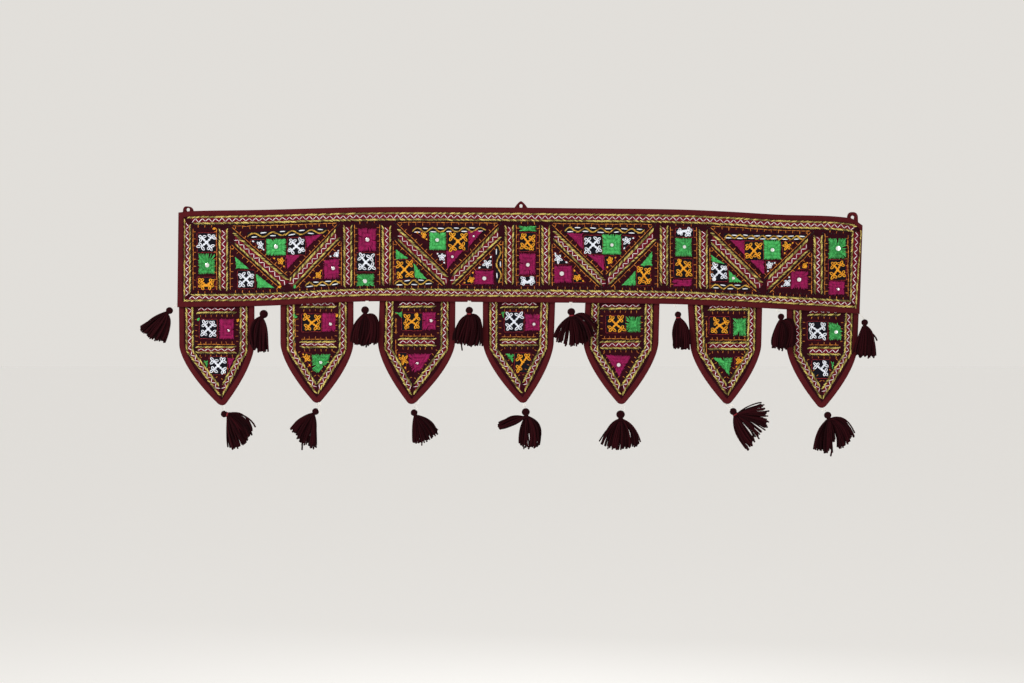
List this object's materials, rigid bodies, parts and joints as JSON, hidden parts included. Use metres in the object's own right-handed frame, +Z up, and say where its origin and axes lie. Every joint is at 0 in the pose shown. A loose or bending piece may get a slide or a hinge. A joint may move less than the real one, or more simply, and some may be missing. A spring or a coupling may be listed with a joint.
{
  "type": "toran door hanging",
  "caption": "Embroidered toran for a doorway: a bound cloth band with pointed flaps below it, yarn tassels in the gaps and at the tips, and small hanging loops on top.",
  "frame": {"origin": "middle of the band's top edge, just under the middle hanging loop", "axes": "+X along the band to the right as seen from the front, +Z up, the embroidered front faces -Y"},
  "size_m": [1.0694, 0.0285, 0.3655],
  "materials": {
    "embroidered_cloth": "dark maroon cotton covered with silk-like embroidery in gold, white, orange, green and magenta",
    "binding_cloth": "plain matte maroon cotton",
    "yarn": "soft dark maroon yarn"
  },
  "bodies": {
    "root": {"band_panel": "embroidered_cloth", "band_binding": "binding_cloth", "flap_1_panel": "embroidered_cloth", "flap_1_binding": "binding_cloth", "flap_2_panel": "embroidered_cloth", "flap_2_binding": "binding_cloth", "flap_3_panel": "embroidered_cloth", "flap_3_binding": "binding_cloth", "flap_4_panel": "embroidered_cloth", "flap_4_binding": "binding_cloth", "flap_5_panel": "embroidered_cloth", "flap_5_binding": "binding_cloth", "flap_6_panel": "embroidered_cloth", "flap_6_binding": "binding_cloth", "flap_7_panel": "embroidered_cloth", "flap_7_binding": "binding_cloth", "hanging_loop_left": "binding_cloth", "hanging_loop_middle": "binding_cloth", "hanging_loop_right": "binding_cloth", "tip_tassel_1": "yarn", "tip_tassel_2": "yarn", "tip_tassel_3": "yarn", "tip_tassel_4": "yarn", "tip_tassel_5": "yarn", "tip_tassel_6": "yarn", "tip_tassel_7": "yarn", "gap_tassel_1": "yarn", "gap_tassel_2": "yarn", "gap_tassel_3": "yarn", "gap_tassel_4": "yarn", "gap_tassel_5": "yarn", "gap_tassel_6": "yarn", "end_tassel_left": "yarn", "end_tassel_right": "yarn"}
  },
  "joints": []
}
